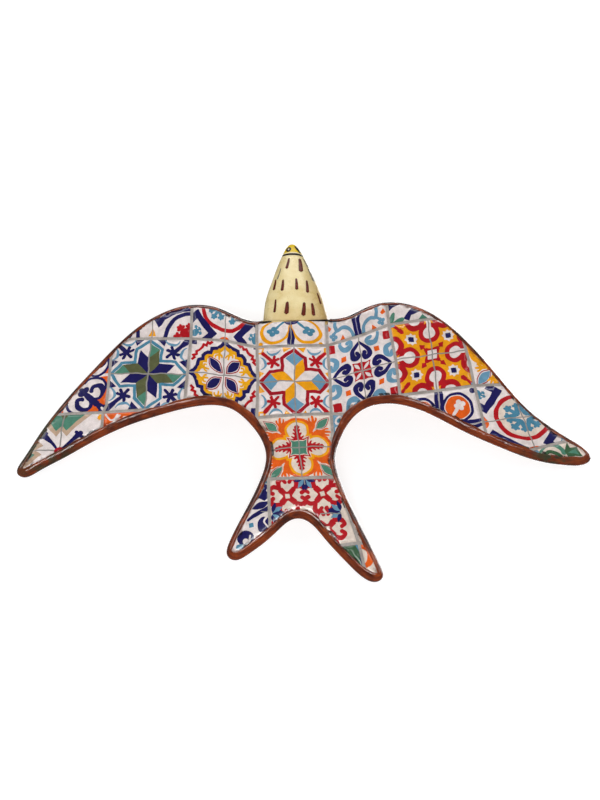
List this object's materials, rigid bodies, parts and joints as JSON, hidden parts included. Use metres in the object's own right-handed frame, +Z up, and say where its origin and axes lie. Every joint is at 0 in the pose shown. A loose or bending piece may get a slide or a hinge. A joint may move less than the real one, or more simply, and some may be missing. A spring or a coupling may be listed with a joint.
{
  "type": "ceramic swallow wall ornament",
  "caption": "Glazed clay swallow in flight for a wall, hand-built from a domed slab faced with tin-glazed patterned tile pieces, with a brown glazed rim and a cream pinched head",
  "frame": {"origin": "mouth of the nail hole on the wall plane, in the back of the hanging boss", "axes": "+X to the viewer's right along the wings, +Y into the wall, +Z up towards the head; the painted front faces -Y"},
  "size_m": [0.4266, 0.0392, 0.2673],
  "materials": {
    "painted_tin_glaze": "white tin glaze with painted pattern, glossy",
    "brown_glaze": "translucent brown glaze, glossy",
    "cream_glaze": "cream glaze, satin gloss",
    "yellow_glaze": "yellow glaze, glossy",
    "joint_mortar": "grey joint mortar, matt",
    "bare_terracotta": "unglazed terracotta, matt"
  },
  "bodies": {
    "root": {"beak": "yellow_glaze", "body_slab": "brown_glaze", "facing_amber_keyhole": "painted_tin_glaze", "facing_amber_star": "painted_tin_glaze", "facing_blue_scrap_tail": "painted_tin_glaze", "facing_blue_scroll_shoulder": "painted_tin_glaze", "facing_chevron_left_tip": "painted_tin_glaze", "facing_green_leaf_tip": "painted_tin_glaze", "facing_heart_scroll": "painted_tin_glaze", "facing_loops_throat": "painted_tin_glaze", "facing_navy_bars": "painted_tin_glaze", "facing_navy_scroll_tail": "painted_tin_glaze", "facing_navy_star": "painted_tin_glaze", "facing_orange_arches": "painted_tin_glaze", "facing_orange_ring_tail": "painted_tin_glaze", "facing_orange_streak": "painted_tin_glaze", "facing_quatrefoil": "painted_tin_glaze", "facing_red_bar_tail": "painted_tin_glaze", "facing_red_coral": "painted_tin_glaze", "facing_red_ring": "painted_tin_glaze", "facing_red_scroll": "painted_tin_glaze", "facing_ring_left_shoulder": "painted_tin_glaze", "facing_scroll_left": "painted_tin_glaze", "facing_waist_scrap": "painted_tin_glaze", "facing_yellow_leaf": "painted_tin_glaze", "facing_yellow_sprig": "painted_tin_glaze", "grout_joints": "joint_mortar", "hanging_boss": "bare_terracotta", "head": "cream_glaze"}
  },
  "joints": []
}
